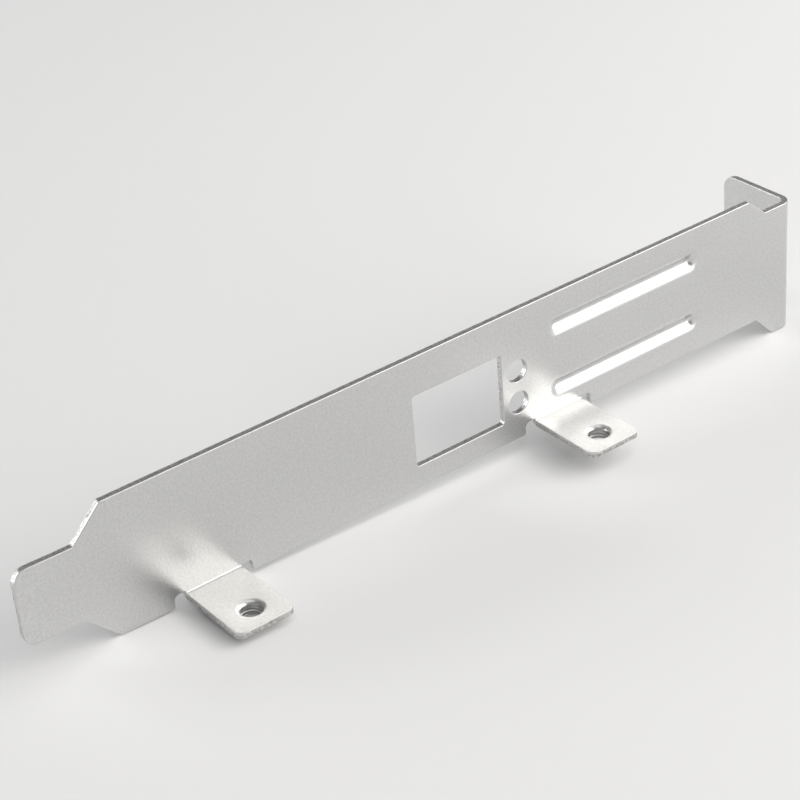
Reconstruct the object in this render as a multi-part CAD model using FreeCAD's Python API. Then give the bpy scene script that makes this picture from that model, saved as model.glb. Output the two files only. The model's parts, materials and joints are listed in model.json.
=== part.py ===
import FreeCAD, Part
import math
import os
from FreeCAD import Vector

# Full-height expansion card bracket, folded from one sheet of plated steel.
# Sizes are in millimetres and degrees. The sheet is drawn with x from the tongue's end to the
# flange, y from the side with the card tabs to the side with the flange, and z up across the
# plate: x = 0 is the tongue's end, y = 0 the plate's tab side, z = 0 its long lower edge.
# The finished part is moved once, so that it stands on z = 0 with the origin under its middle.

# Sheet and overall sizes
sheet = 0.86
overall_length = 120.02
plate_width = 18.42
plate_corner_radius = 0.35
edge_break = 0.1

# Tongue that drops into the slot of the case, and the shoulders beside it
tongue_width = 10.19
tongue_corner_radius = 1.8
tongue_bend_from_end = 5.5
tongue_bend_angle = 2.0
tongue_bend_radius = 3.0
shoulder_from_end = 7.6

# Flange that is screwed to the case, and the steps in the plate's long edges beside it
flange_depth = 11.43
flange_fold_radius = 1.0
flange_corner_radius = 2.0
ear_drop = 3.17
ear_from_flange = 6.92
top_cut = 2.54
top_cut_from_flange = 8.32
top_cut_run = 3.0

# Screw notch, open at the ear's edge, and locating notch in the flange's free edge
screw_notch_width = 4.42
screw_notch_setback = 5.49
screw_notch_depth = 5.6
locating_notch_width = 3.7
locating_notch_depth = 3.6
locating_notch_height = 9.97
locating_notch_radius = 0.6

# Card tabs folded out of the lower edge, with a relief notch on each side
first_tab_from_end = 24.45
tab_pitch = 53.1
tab_width = 7.9
tab_reach = 11.0
tab_height = 1.45
tab_fold_radius = 0.2
tab_corner_radius = 1.0
relief_width = 1.5
relief_over_fold = 0.05
relief_corner_radius = 0.7
relief_mouth_radius = 0.4

# Plunged holes in the tabs, tapped for the card's screws
tap_setback = 3.4
tap_radius = 1.25
tap_entry_radius = 0.65
collar_wall = 0.55
collar_drop = 0.9
collar_root_radius = 0.25

# Connector window and indicator lamp holes
window_from_end = 54.75
window_low = 3.1
window_width = 13.9
window_height = 9.95
window_corner_radius = 0.4
lamp_from_end = 71.1
lamp_low = 5.25
lamp_pitch = 4.6
lamp_radius = 1.55

# Stiffening beads, pressed from the tab side towards the flange side, each beside a long edge
bead_from_end = 76.25
bead_length = 26.3
bead_from_low_edge = 4.85
bead_from_top_edge = 4.72
bead_width = 3.5
bead_depth = 0.8
bead_edge_radius = 1.5
bead_root_radius = 0.6
bead_margin = 0.25

# Lines that several features share
tongue_low = (plate_width - tongue_width) / 2
tongue_high = plate_width - tongue_low
flange_high = plate_width - top_cut
flange_fold_x = overall_length - sheet - flange_fold_radius
flange_edge_y = sheet + flange_depth
tab_fold_z = tab_height + tab_fold_radius
tab_centres = [first_tab_from_end, first_tab_from_end + tab_pitch]

# An edge is sharp where its two faces turn by more than this angle
sharp_turn = 30.0

X_AXIS = Vector(1, 0, 0)
Y_AXIS = Vector(0, 1, 0)
Z_AXIS = Vector(0, 0, 1)


def on_plate(x, z):
    """Point on the plate's tab-side face."""
    return Vector(x, 0, z)


def on_flange(y, z):
    """Point on the flange's inner face."""
    return Vector(overall_length - sheet, y, z)


def on_tab(x, y):
    """Point on the underside of the tabs."""
    return Vector(x, y, tab_height - sheet)


def on_section(radius, height):
    """Point in the half plane of a hole's axis, which is z."""
    return Vector(radius, 0, height)


def across_bead(reach, depth):
    """Point in the plane that cuts a bead square across its middle line."""
    return Vector(0, depth, reach)


def outline(corners, place):
    """Face with straight runs between corners (u, v, radius), each rounded by its radius."""
    points = [place(u, v) for u, v, radius in corners]
    edges = []
    stops = []
    for index, (u, v, radius) in enumerate(corners):
        point = points[index]
        back = (points[index - 1] - point).normalize()
        ahead = (points[(index + 1) % len(points)] - point).normalize()
        half = back.getAngle(ahead) / 2
        run = radius / math.tan(half)
        stops.append((point + back * run, point + ahead * run))
        if radius > 0:
            middle = point + (back + ahead).normalize() * (radius / math.sin(half) - radius)
            edges.append(Part.Arc(stops[-1][0], middle, stops[-1][1]).toShape())
    for index, (arrival, departure) in enumerate(stops):
        target = stops[(index + 1) % len(stops)][0]
        if target.distanceToPoint(departure) > Part.Precision.confusion():
            edges.append(Part.LineSegment(departure, target).toShape())
    return Part.Face(Part.Wire(Part.__sortEdges__(edges)))


def section(points, place):
    """Face through points (u, v); a point (u, v, centre u, centre v) is reached by an arc."""
    edges = []
    here = place(*points[-1][:2])
    for point in points:
        there = place(*point[:2])
        if len(point) == 4:
            centre = place(*point[2:])
            radius = centre.distanceToPoint(there)
            middle = centre + (here + there - centre * 2).normalize() * radius
            edges.append(Part.Arc(here, middle, there).toShape())
        else:
            edges.append(Part.LineSegment(here, there).toShape())
        here = there
    return Part.Face(Part.Wire(edges))


def plate_prism(corners):
    """Sheet-thick solid in the plate's plane."""
    return outline(corners, on_plate).extrude(Y_AXIS * sheet)


def plate():
    """Flat plate between the tongue's bend and the flange's fold."""
    shoulder_end = shoulder_from_end + tongue_low
    ear_start = overall_length - ear_from_flange
    cut_start = overall_length - top_cut_from_flange
    return plate_prism([
        (tongue_bend_from_end, tongue_low, 0),
        (shoulder_from_end, tongue_low, plate_corner_radius),
        (shoulder_end, 0, plate_corner_radius),
        (ear_start, 0, plate_corner_radius),
        (ear_start + ear_drop, -ear_drop, plate_corner_radius),
        (flange_fold_x, -ear_drop, 0),
        (flange_fold_x, flange_high, 0),
        (cut_start + top_cut_run, flange_high, plate_corner_radius),
        (cut_start, plate_width, plate_corner_radius),
        (shoulder_end, plate_width, plate_corner_radius),
        (shoulder_from_end, tongue_high, plate_corner_radius),
        (tongue_bend_from_end, tongue_high, 0),
    ])


def tongue():
    """Tongue with round corners, bent slightly towards the flange side."""
    angle = math.radians(tongue_bend_angle)
    outer_radius = sheet + tongue_bend_radius
    flat_length = (tongue_bend_from_end - outer_radius * math.sin(angle)) / math.cos(angle)
    flat_end = tongue_bend_from_end - flat_length
    axis_point = Vector(tongue_bend_from_end, outer_radius, 0)
    root_corner = on_plate(tongue_bend_from_end, tongue_low)
    root = Part.makePlane(sheet, tongue_width, root_corner, X_AXIS, Y_AXIS)
    bend = root.revolve(axis_point, Z_AXIS, -tongue_bend_angle)
    flat = plate_prism([
        (flat_end, tongue_low, tongue_corner_radius),
        (tongue_bend_from_end, tongue_low, 0),
        (tongue_bend_from_end, tongue_high, 0),
        (flat_end, tongue_high, tongue_corner_radius),
    ])
    flat.rotate(axis_point, Z_AXIS, -tongue_bend_angle)
    return [bend, flat]


def screw_notch():
    """Round-ended notch through the flange, open at the ear's edge."""
    radius = screw_notch_width / 2
    centre_y = sheet + screw_notch_setback
    crown = screw_notch_depth - ear_drop
    below_ear = -ear_drop - screw_notch_width
    return outline([
        (centre_y - radius, below_ear, 0),
        (centre_y + radius, below_ear, 0),
        (centre_y + radius, crown, radius),
        (centre_y - radius, crown, radius),
    ], on_flange).extrude(X_AXIS * sheet)


def locating_notch():
    """Notch in the flange's free edge, at its height above the ear's edge."""
    middle = locating_notch_height - ear_drop
    low = middle - locating_notch_width / 2
    high = middle + locating_notch_width / 2
    inner_y = flange_edge_y - locating_notch_depth
    past_edge_y = flange_edge_y + locating_notch_depth
    return outline([
        (inner_y, low, locating_notch_radius),
        (past_edge_y, low, 0),
        (past_edge_y, high, 0),
        (inner_y, high, locating_notch_radius),
    ], on_flange).extrude(X_AXIS * sheet)


def flange():
    """Flange with its two notches, and the fold that joins it to the plate."""
    fold_y = sheet + flange_fold_radius
    root_corner = on_plate(flange_fold_x, -ear_drop)
    root = Part.makePlane(sheet, flange_high + ear_drop, root_corner, X_AXIS, Y_AXIS)
    fold = root.revolve(Vector(flange_fold_x, fold_y, 0), Z_AXIS, 90)
    flat = outline([
        (fold_y, -ear_drop, 0),
        (flange_edge_y, -ear_drop, flange_corner_radius),
        (flange_edge_y, flange_high, flange_corner_radius),
        (fold_y, flange_high, 0),
    ], on_flange).extrude(X_AXIS * sheet)
    return [fold, flat.cut([screw_notch(), locating_notch()])]


def tab_clearance(centre):
    """What a tab's fold and its two relief notches take out of the plate's lower edge."""
    left = centre - tab_width / 2
    right = centre + tab_width / 2
    relief_top = tab_fold_z + relief_over_fold
    below_edge = -relief_width
    return plate_prism([
        (left - relief_width, below_edge, 0),
        (left - relief_width, relief_top, relief_corner_radius),
        (left, relief_top, 0),
        (left, tab_fold_z, 0),
        (right, tab_fold_z, 0),
        (right, relief_top, 0),
        (right + relief_width, relief_top, relief_corner_radius),
        (right + relief_width, below_edge, 0),
    ])


def relief_mouths(centre):
    """What rounds the plate's corners at the mouths of a tab's two relief notches."""
    mouths = []
    for side in (-1, 1):
        wall_x = centre + side * (tab_width / 2 + relief_width)
        tangent_x = wall_x + side * relief_mouth_radius
        mouths.append(section([
            (wall_x, 0),
            (tangent_x, 0),
            (wall_x, relief_mouth_radius, tangent_x, relief_mouth_radius),
        ], on_plate).extrude(Y_AXIS * sheet))
    return mouths


def tapped_bore():
    """Hole with a rounded entry, to be cut, with the tab's upper face at height 0."""
    bottom = -sheet - collar_drop
    mouth_radius = tap_radius + tap_entry_radius
    return section([
        (0, 0),
        (mouth_radius, 0),
        (tap_radius, -tap_entry_radius, mouth_radius, -tap_entry_radius),
        (tap_radius, bottom),
        (0, bottom),
    ], on_section).revolve(Vector(), Z_AXIS, 360)


def collar():
    """Collar drawn out below the tab around the hole, with a rounded root."""
    bottom = -sheet - collar_drop
    wall_radius = tap_radius + collar_wall
    root_radius = wall_radius + collar_root_radius
    root_height = -sheet - collar_root_radius
    return section([
        (0, -sheet),
        (0, bottom),
        (wall_radius, bottom),
        (wall_radius, root_height),
        (root_radius, -sheet, root_radius, root_height),
    ], on_section).revolve(Vector(), Z_AXIS, 360)


def tab(centre):
    """Card tab with its plunged hole, and the fold that joins it to the plate."""
    left = centre - tab_width / 2
    right = centre + tab_width / 2
    root = Part.makePlane(tab_width, sheet, on_plate(left, tab_fold_z), Z_AXIS, X_AXIS)
    fold = root.revolve(Vector(0, -tab_fold_radius, tab_fold_z), X_AXIS, -90)
    flat = outline([
        (left, -tab_fold_radius, 0),
        (left, -tab_reach, tab_corner_radius),
        (right, -tab_reach, tab_corner_radius),
        (right, -tab_fold_radius, 0),
    ], on_tab).extrude(Z_AXIS * sheet)
    hole_place = Vector(centre, tap_setback - tab_reach, tab_height)
    drawn = collar().translate(hole_place)
    bore = tapped_bore().translate(hole_place)
    return [fold, flat.fuse(drawn).cut(bore)]


def window():
    """Opening for the connector."""
    right = window_from_end + window_width
    top = window_low + window_height
    return plate_prism([
        (window_from_end, window_low, window_corner_radius),
        (right, window_low, window_corner_radius),
        (right, top, window_corner_radius),
        (window_from_end, top, window_corner_radius),
    ])


def lamp_holes():
    """Round holes for the indicator lamps, one above the other."""
    heights = [lamp_low, lamp_low + lamp_pitch]
    return [Part.makeCylinder(lamp_radius, sheet, on_plate(lamp_from_end, z), Y_AXIS) for z in heights]


def bead_reaches():
    """Groove radius, and half the width of the bead's crown with its root on the flange side."""
    half_width = bead_width / 2
    groove_radius = (half_width**2 + bead_depth**2) / (2 * bead_depth) - bead_edge_radius
    root_span = groove_radius + sheet + bead_root_radius
    crown_reach = math.sqrt(2 * root_span * bead_depth - bead_depth**2)
    return groove_radius, crown_reach


def arc_meeting(first_centre, first_radius, second_centre):
    """Point where an arc meets the next one, on the line between their centres."""
    run = math.dist(first_centre, second_centre)
    share = first_radius / run
    return [a + (b - a) * share for a, b in zip(first_centre, second_centre)]


def bead_half_section():
    """Half of the sheet's wavy section across a bead, from the bead's middle line outwards."""
    groove_radius, crown_reach = bead_reaches()
    half_width = bead_width / 2
    centre = (0, bead_depth - groove_radius)
    edge_centre = (half_width, bead_edge_radius)
    root_centre = (crown_reach, sheet + bead_root_radius)
    edge_start = arc_meeting(centre, groove_radius, edge_centre)
    root_end = arc_meeting(centre, groove_radius + sheet, root_centre)
    patch_edge = crown_reach + bead_margin
    return section([
        (0, bead_depth),
        (*edge_start, *centre),
        (half_width, 0, *edge_centre),
        (patch_edge, 0),
        (patch_edge, sheet),
        (crown_reach, sheet),
        (*root_end, *root_centre),
        (0, sheet + bead_depth, *centre),
    ], across_bead)


def bead_patches():
    """Sheet around each bead, and the round-ended blank of plain plate that it replaces."""
    patches = []
    blanks = []
    straight = bead_length - bead_width
    patch_radius = bead_reaches()[1] + bead_margin
    for height in (bead_from_low_edge, plate_width - bead_from_top_edge):
        left_end = on_plate(bead_from_end + bead_width / 2, height)
        right_end = left_end + X_AXIS * straight
        upper = bead_half_section().translate(left_end)
        lower = upper.mirror(left_end, Z_AXIS)
        left_cap = upper.revolve(left_end, Y_AXIS, -180)
        right_cap = upper.translated(X_AXIS * straight).revolve(right_end, Y_AXIS, 180)
        run = [half.extrude(X_AXIS * straight) for half in (upper, lower)]
        patches.append(left_cap.fuse(run + [right_cap]))
        blank = Part.makeBox(straight, sheet, 2 * patch_radius, left_end - Z_AXIS * patch_radius)
        ends = [Part.makeCylinder(patch_radius, sheet, end, Y_AXIS) for end in (left_end, right_end)]
        blanks.append(blank.fuse(ends))
    return patches, blanks


def outward_edges(solid):
    """Sharp edges that stand out, where tumbling breaks the corner left by the press tool."""
    found = []
    for edge in solid.Edges:
        point = edge.valueAt((edge.FirstParameter + edge.LastParameter) / 2)
        faces = solid.ancestorsOfType(edge, Part.Face)
        normals = [face.normalAt(*face.Surface.parameter(point)) for face in faces]
        turn = math.degrees(normals[0].getAngle(normals[-1]))
        beside = point + normals[-1] * edge_break
        if turn > sharp_turn and not solid.isInside(beside, Part.Precision.confusion(), True):
            found.append(edge)
    return found


def bracket():
    """The whole folded sheet as one solid, standing on z = 0 with the origin under its middle."""
    patches, blanks = bead_patches()
    cuts = [window()] + lamp_holes() + blanks
    added = tongue() + flange() + patches
    for centre in tab_centres:
        cuts += [tab_clearance(centre)] + relief_mouths(centre)
        added += tab(centre)
    folded = plate().cut(cuts).fuse(added).removeSplitter().Solids[0]
    tumbled = folded.makeChamfer(edge_break, outward_edges(folded)).Solids[0]
    middle = Vector(overall_length / 2, (flange_edge_y - tab_reach) / 2, -ear_drop)
    return tumbled.translated(-middle)


os.makedirs("parts", exist_ok=True)
bracket().exportStep("parts/card_bracket.step")
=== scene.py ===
import json
import math

import bmesh
import bpy
from mathutils import Euler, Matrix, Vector
from mathutils.bvhtree import BVHTree


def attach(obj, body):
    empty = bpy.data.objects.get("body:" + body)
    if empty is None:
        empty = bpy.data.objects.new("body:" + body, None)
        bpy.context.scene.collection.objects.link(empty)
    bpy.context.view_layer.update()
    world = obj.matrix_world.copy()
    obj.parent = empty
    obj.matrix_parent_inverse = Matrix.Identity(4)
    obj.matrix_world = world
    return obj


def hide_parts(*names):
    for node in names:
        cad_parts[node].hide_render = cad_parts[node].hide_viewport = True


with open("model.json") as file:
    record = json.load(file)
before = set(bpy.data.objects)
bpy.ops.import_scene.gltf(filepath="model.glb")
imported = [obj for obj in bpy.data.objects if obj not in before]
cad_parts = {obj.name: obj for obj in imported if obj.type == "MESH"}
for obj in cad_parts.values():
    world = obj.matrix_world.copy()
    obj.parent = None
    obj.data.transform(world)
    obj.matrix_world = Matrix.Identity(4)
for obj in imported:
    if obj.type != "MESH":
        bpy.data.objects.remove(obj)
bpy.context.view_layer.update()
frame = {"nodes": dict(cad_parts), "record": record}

# Looks of a folded, plated steel card bracket. Lengths are in metres, in the part's own frame:
# x along the plate from the tongue to the flange, y from the tab side to the flange side, z up.

record = frame["record"]
MM = 0.001

# Thickness of the sheet, as the part's source has it
sheet = 0.86 * MM

# How the CAD mesh is read: corners nearer than weld_distance are one, edges under shortest_edge
# are dropped, neighbours that turn by no more than patch_turn are one patch, a patch narrower than
# widest_break is a broken edge, and other faces that turn by crease_turn or more share no normal
weld_distance = 0.001 * MM
shortest_edge = weld_distance / 10
patch_turn = math.radians(27)
widest_break = 0.2 * MM
crease_turn = math.radians(40)

# Thread of the card's screws; a bore's wall is found to within bore_margin
thread_pitch = 0.5 * MM
thread_depth = 0.27 * MM
thread_rows_per_turn = 16
thread_run_in = 0.12 * MM
thread_crest_share = 0.2
thread_root_share = 0.2
bore_margin = 0.01 * MM

# Camera, as it stood for an 800 by 800 picture
camera_place = Vector((-0.138000, -0.187245, 0.155470))
camera_turn_degrees = (58.567, 4.363, -37.729)
camera_lens_mm = 100.385
camera_sensor_mm = 36.0
camera_clip = (0.01, 10.0)

# Floor, through the tongue-end shoulder's corner and the ear, on which the bracket rests
shoulder_contact = Vector((-0.04815, 0.0, 0.00317))
ear_contact = Vector((0.056405, 0.0, 0.0))
floor_reach = 0.25
floor_colour = (0.80, 0.80, 0.80, 1.0)
floor_roughness = 0.9
floor_specular = 0.1

# Noises, each with its scale in features per metre, its detail and its roughness, and the range
# that they mostly keep to. A pair of values along a noise is for its low and its high
grain_noise = (3200, 2, 0.6)
wave_noise = (45, 1, 0.5)
tear_noise = (2800, 4, 0.7)
ragged_noise = (1700, 3, 0.6)
noise_range = (0.3, 0.7)

# Plated faces: colours and roughness along the grain, and heights of the grain and of the slow wave
plate_colours = [(0.3, (0.588, 0.587, 0.583)), (0.7, (0.688, 0.687, 0.683))]
plate_roughness = (0.35, 0.31)
grain_height = 0.013 * MM
wave_height = 0.008 * MM

# Sheared walls: shares of the sheet's depth between which the burnished band gives way to the
# tear, and by which that border strays; colours and roughness of both; level of the band, as a
# share of the bump's height; and that height
band_end = (0.28, 0.38)
band_stray = (-0.15, 0.15)
band_colours = [(0.3, (0.66, 0.653, 0.64)), (0.7, (0.74, 0.733, 0.72))]
band_roughness = (0.30, 0.38)
band_level = (0.9, 1.0)
tear_colours = [(0.35, (0.30, 0.297, 0.29)), (0.65, (0.72, 0.713, 0.70))]
tear_roughness = (0.58, 0.40)
tear_height = 0.05 * MM

# Soft boxes, each with its place, its target, its width, its height, its brightness and, where it
# isn't white, its colour
white_light = (1.0, 1.0, 1.0)
warm_light = (1.0, 0.975, 0.93)
soft_boxes = {
    "key": ((0.42, -0.46, 0.40), (0.0, 0.0, 0.01), 0.60, 0.40, 3.35, warm_light),
    "low": ((0.36, -0.72, 0.135), (0.0, 0.0, 0.01), 0.60, 0.27, 2.2),
    "right": ((0.60, -0.15, 0.30), (0.06, -0.02, 0.0), 0.38, 0.38, 3.2),
    "above": ((0.40, 0.0, 0.68), (0.0, 0.0, 0.0), 0.52, 0.88, 1.1),
    "front": ((-0.22, -0.25, 0.72), (0.0, 0.0, 0.0), 0.60, 0.60, 1.0),
    "back": ((-0.53, 0.72, 0.42), (0.0, 0.0, 0.01), 0.50, 0.40, 4.0),
    "left": ((-0.68, 0.40, 0.11), (-0.06, 0.0, 0.01), 0.32, 0.14, 17.0),
}

# Surroundings by the height of the direction: a white backdrop, and a dim room above it
sky_tones = [
    (0.0, white_light),
    (0.10, white_light),
    (0.24, (0.18, 0.18, 0.18)),
    (1.0, (0.135, 0.135, 0.135)),
]

# Material places on the piece
PLATED, SHEARED = 0, 1


def smooth_patches(work):
    """Groups of faces that turn by no more than patch_turn from one to the next."""
    patches = []
    for face in work.faces:
        face.tag = False
    for seed in work.faces:
        if seed.tag:
            continue
        seed.tag = True
        patch = [seed]
        for face in patch:
            for edge in face.edges:
                if edge.calc_face_angle(0.0) > patch_turn:
                    continue
                for other in edge.link_faces:
                    if not other.tag:
                        other.tag = True
                        patch.append(other)
        patches.append(patch)
    return patches


def patch_width(patch):
    """Mean width of a patch, from its area and the length of its border."""
    area = sum(face.calc_area() for face in patch)
    border = sum(edge.calc_length() for face in patch for edge in face.edges
                 if edge.calc_face_angle(0.0) > patch_turn)
    return 2 * area / border if border else math.inf


def patch_tree(patch):
    """Search tree of a patch of triangles."""
    corners = [vertex.co for face in patch for vertex in face.verts]
    triangles = [(3 * index, 3 * index + 1, 3 * index + 2) for index in range(len(patch))]
    return BVHTree.FromPolygons(corners, triangles)


def mark_depth(work, patches):
    """Depth of each vertex through the sheet, from 0 on its front to 1 on its back."""
    depth = work.verts.layers.float["depth"]
    sides = sorted(patches, key=lambda patch: sum(face.calc_area() for face in patch))[-2:]
    sides.sort(key=lambda patch: sum(face.normal.y * face.calc_area() for face in patch))
    front, back = (patch_tree(patch) for patch in sides)
    for vertex in work.verts:
        to_front = front.find_nearest(vertex.co)[3]
        to_back = back.find_nearest(vertex.co)[3]
        vertex[depth] = to_front / (to_front + to_back)


def thread_profile(phase):
    """Share of the thread's depth at a phase of 0 to 1 along one pitch."""
    flank = (1 - thread_crest_share - thread_root_share) / 2
    from_crest = abs((phase % 1.0) - 0.5) * 2
    rise = (from_crest - thread_crest_share) / (2 * flank)
    return min(max(rise, 0.0), 1.0)


def cut_thread(work, mount):
    """Replaces a plain bore's wall by a helical thread that runs in at both ends."""
    centre = Vector(mount["pos_m"])
    radius = mount["dims"]["r_mm"] * MM
    half_length = mount["dims"]["length_mm"] * MM / 2

    def on_wall(vertex):
        offset = vertex.co - centre
        is_round = abs(math.hypot(offset.x, offset.y) - radius) < bore_margin
        return is_round and abs(offset.z) < half_length + bore_margin

    def angle_of(vertex):
        return math.atan2(vertex.co.y - centre.y, vertex.co.x - centre.x)

    wall = [face for face in work.faces if all(on_wall(vertex) for vertex in face.verts)]
    rings = {1: set(), -1: set()}
    for face in wall:
        for vertex in face.verts:
            rings[1 if vertex.co.z > centre.z else -1].add(vertex)
    top, bottom = (sorted(rings[side], key=angle_of) for side in (1, -1))
    bmesh.ops.delete(work, geom=wall, context="FACES")
    length = 2 * half_length
    row_count = round(length / thread_pitch * thread_rows_per_turn)
    rows = [top]
    for step in range(1, row_count):
        drop = length * step / row_count
        fade = min(drop, length - drop, thread_run_in) / thread_run_in
        row = []
        for start in top:
            angle = angle_of(start)
            phase = drop / thread_pitch + angle / math.tau
            reach = radius + thread_depth * fade * thread_profile(phase)
            side = Vector((math.cos(angle), math.sin(angle), 0)) * reach
            row.append(work.verts.new(centre + side + Vector((0, 0, half_length - drop))))
        rows.append(row)
    rows.append(bottom)
    for upper, lower in zip(rows, rows[1:]):
        for index in range(len(upper)):
            ahead = (index + 1) % len(upper)
            work.faces.new((upper[index], upper[ahead], lower[ahead], lower[index]))


def corner_normals(mesh, is_break):
    """Normals that round the broken edges and leave the sheet's own faces flat."""
    touching = [[] for vertex in mesh.vertices]
    for face in mesh.polygons:
        corners = [mesh.vertices[index].co for index in face.vertices]
        for place, index in enumerate(face.vertices):
            here = corners[place]
            back = corners[place - 1] - here
            ahead = corners[(place + 1) % len(corners)] - here
            touching[index].append((face.index, back.angle(ahead, 0.0)))
    normals = []
    for face in mesh.polygons:
        for index in face.vertices:
            kept = [pair for pair in touching[index] if not is_break[pair[0]]]
            total = Vector()
            for other, share in kept or touching[index]:
                normal = mesh.polygons[other].normal
                if is_break[face.index] or normal.angle(face.normal, 0.0) < crease_turn:
                    total += normal * share
            normals.append(total.normalized() if total.length > 0 else face.normal)
    mesh.normals_split_custom_set(normals)


def sheet_piece():
    """The folded sheet, with threads, rounded edges and its sheared walls told apart."""
    node = frame["nodes"]["card_bracket"]
    work = bmesh.new()
    work.from_mesh(node.data)
    bmesh.ops.remove_doubles(work, verts=work.verts, dist=weld_distance)
    bmesh.ops.dissolve_degenerate(work, edges=work.edges, dist=shortest_edge)
    work.normal_update()
    break_mark = work.faces.layers.int.new("edge_break")
    work.verts.layers.float.new("depth")
    patches = smooth_patches(work)
    for patch in patches:
        width = patch_width(patch)
        for face in patch:
            face[break_mark] = int(width < widest_break)
            face.material_index = SHEARED if widest_break <= width < sheet else PLATED
    mark_depth(work, patches)
    for mount in record["mounts"]:
        if mount["kind"] == "threaded_hole":
            cut_thread(work, mount)
    bmesh.ops.recalc_face_normals(work, faces=work.faces)
    for face in work.faces:
        face.smooth = True
    mesh = bpy.data.meshes.new("bracket_sheet")
    work.to_mesh(mesh)
    work.free()
    marks = mesh.attributes["edge_break"].data
    corner_normals(mesh, [mark.value == 1 for mark in marks])
    piece = bpy.data.objects.new("bracket_sheet", mesh)
    bpy.context.scene.collection.objects.link(piece)
    return piece


def node_material(name):
    """New node material, with its tree and its shader."""
    material = bpy.data.materials.new(name)
    material.use_nodes = True
    return material, material.node_tree, material.node_tree.nodes["Principled BSDF"]


def noise(tree, scale, detail, roughness):
    """Noise in the part's own coordinates, with scale in features per metre."""
    place = tree.nodes.new("ShaderNodeTexCoord")
    texture = tree.nodes.new("ShaderNodeTexNoise")
    texture.inputs["Scale"].default_value = scale
    texture.inputs["Detail"].default_value = detail
    texture.inputs["Roughness"].default_value = roughness
    tree.links.new(place.outputs["Object"], texture.inputs["Vector"])
    return texture.outputs["Fac"]


def spread(tree, source, given, wanted):
    """Source spread from a given range over a wanted one, as pairs of low and high."""
    node = tree.nodes.new("ShaderNodeMapRange")
    for name, ends in (("From", given), ("To", wanted)):
        node.inputs[name + " Min"].default_value, node.inputs[name + " Max"].default_value = ends
    tree.links.new(source, node.inputs["Value"])
    return node.outputs["Result"]


def ramp(tree, source, stops):
    """Colours along a source, as pairs of place and colour."""
    node = tree.nodes.new("ShaderNodeValToRGB")
    for place, _ in stops[1:-1]:
        node.color_ramp.elements.new(place)
    for element, (place, colour) in zip(node.color_ramp.elements, stops):
        element.position = place
        element.color = (*colour, 1.0)
    tree.links.new(source, node.inputs["Fac"])
    return node.outputs["Color"]


def bump(tree, height, distance, below=None):
    """Bump of a height in metres, laid over another."""
    node = tree.nodes.new("ShaderNodeBump")
    node.inputs["Distance"].default_value = distance
    tree.links.new(height, node.inputs["Height"])
    if below:
        tree.links.new(below, node.inputs["Normal"])
    return node.outputs["Normal"]


def blend(tree, share, low, high, kind="FLOAT"):
    """Mix of two sources by a share from 0 to 1."""
    node = tree.nodes.new("ShaderNodeMix")
    node.data_type = kind
    share_in, low_in, high_in = [socket for socket in node.inputs if socket.enabled][:3]
    tree.links.new(share, share_in)
    tree.links.new(low, low_in)
    tree.links.new(high, high_in)
    return next(socket for socket in node.outputs if socket.enabled)


def plated_material():
    """Satin plate with a fine grain, over a sheet that is not quite flat."""
    material, tree, shader = node_material("plated_sheet")
    grain = noise(tree, *grain_noise)
    wave = noise(tree, *wave_noise)
    shader.inputs["Metallic"].default_value = 1.0
    tree.links.new(ramp(tree, grain, plate_colours), shader.inputs["Base Color"])
    roughness = spread(tree, grain, noise_range, plate_roughness)
    tree.links.new(roughness, shader.inputs["Roughness"])
    slow = bump(tree, wave, wave_height)
    tree.links.new(bump(tree, grain, grain_height, slow), shader.inputs["Normal"])
    return material


def sheared_material():
    """Cut edges of the sheet: a narrow burnished band at the front, and a torn grain behind it."""
    material, tree, shader = node_material("sheared_edge")
    depth = tree.nodes.new("ShaderNodeAttribute")
    depth.attribute_name = "depth"
    tear = noise(tree, *tear_noise)
    ragged = noise(tree, *ragged_noise)
    place = tree.nodes.new("ShaderNodeMath")
    place.operation = "ADD"
    tree.links.new(depth.outputs["Fac"], place.inputs[0])
    tree.links.new(spread(tree, ragged, noise_range, band_stray), place.inputs[1])
    torn = spread(tree, place.outputs["Value"], band_end, (0.0, 1.0))
    shader.inputs["Metallic"].default_value = 1.0
    band = ramp(tree, ragged, band_colours)
    colour = blend(tree, torn, band, ramp(tree, tear, tear_colours), "RGBA")
    tree.links.new(colour, shader.inputs["Base Color"])
    band = spread(tree, ragged, noise_range, band_roughness)
    roughness = blend(tree, torn, band, spread(tree, tear, noise_range, tear_roughness))
    tree.links.new(roughness, shader.inputs["Roughness"])
    height = blend(tree, torn, spread(tree, ragged, noise_range, band_level), tear)
    tree.links.new(bump(tree, height, tear_height), shader.inputs["Normal"])
    return material


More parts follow.
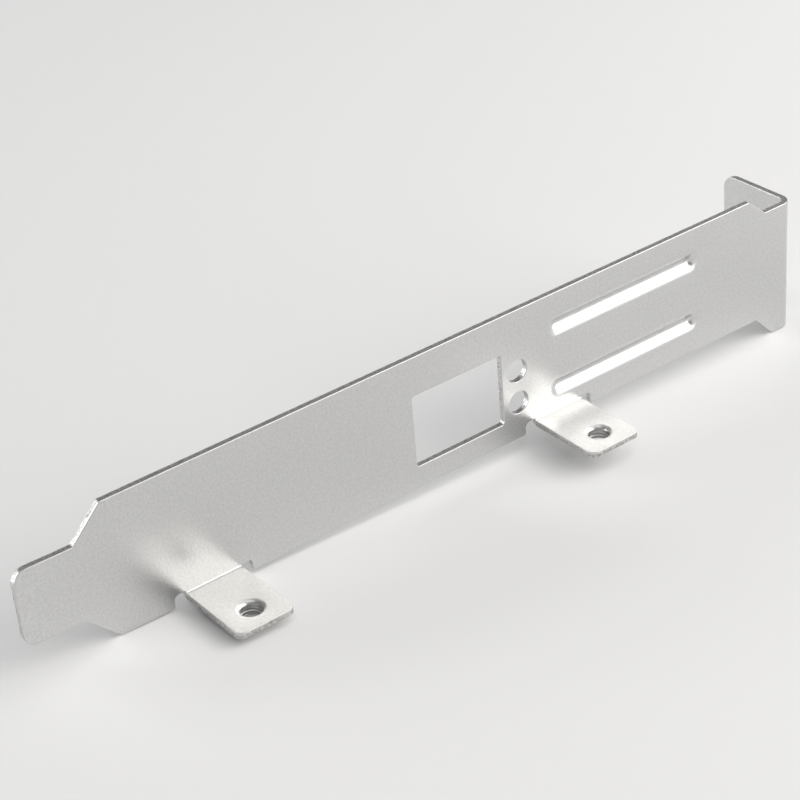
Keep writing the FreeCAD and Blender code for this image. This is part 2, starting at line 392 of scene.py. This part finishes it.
def floor():
    """Plain pale floor, through the two places on which the bracket rests."""
    slope = (ear_contact.z - shoulder_contact.z) / (ear_contact.x - shoulder_contact.x)
    ends = (-floor_reach, floor_reach)
    corners = [(x, y, ear_contact.z + slope * (x - ear_contact.x)) for x in ends for y in ends]
    mesh = bpy.data.meshes.new("floor")
    mesh.from_pydata(corners, [], [(0, 2, 3, 1)])
    material, tree, shader = node_material("floor")
    shader.inputs["Base Color"].default_value = floor_colour
    shader.inputs["Roughness"].default_value = floor_roughness
    shader.inputs["Specular IOR Level"].default_value = floor_specular
    mesh.materials.append(material)
    made = bpy.data.objects.new("floor", mesh)
    bpy.context.scene.collection.objects.link(made)


def softbox(name, place, target, width, height, radiance, colour=white_light):
    """Rectangular soft light of an even brightness, facing a target."""
    light = bpy.data.lights.new(name, "AREA")
    light.shape = "RECTANGLE"
    light.size = width
    light.size_y = height
    light.energy = radiance * math.pi * width * height
    light.color = colour
    made = bpy.data.objects.new(name, light)
    made.location = place
    made.rotation_euler = (Vector(target) - Vector(place)).to_track_quat("-Z", "Y").to_euler()
    bpy.context.scene.collection.objects.link(made)


def studio():
    """Soft light, from the surroundings and from the soft boxes."""
    world = bpy.data.worlds.new("studio")
    world.use_nodes = True
    tree = world.node_tree
    heading = tree.nodes.new("ShaderNodeTexCoord")
    rise = tree.nodes.new("ShaderNodeSeparateXYZ")
    tree.links.new(heading.outputs["Generated"], rise.inputs["Vector"])
    sky = ramp(tree, rise.outputs["Z"], sky_tones)
    tree.links.new(sky, tree.nodes["Background"].inputs["Color"])
    bpy.context.scene.world = world
    for name, setting in soft_boxes.items():
        softbox(name, *setting)


def camera():
    """Camera at the photograph's place."""
    data = bpy.data.cameras.new("camera")
    data.lens = camera_lens_mm
    data.sensor_width = camera_sensor_mm
    data.clip_start, data.clip_end = camera_clip
    made = bpy.data.objects.new("camera", data)
    made.location = camera_place
    made.rotation_euler = Euler([math.radians(turn) for turn in camera_turn_degrees])
    bpy.context.scene.collection.objects.link(made)
    bpy.context.scene.camera = made


piece = sheet_piece()
piece.data.materials.append(plated_material())
piece.data.materials.append(sheared_material())
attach(piece, "root")
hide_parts("card_bracket")
floor()
studio()
camera()
bpy.context.scene.view_settings.view_transform = "Standard"
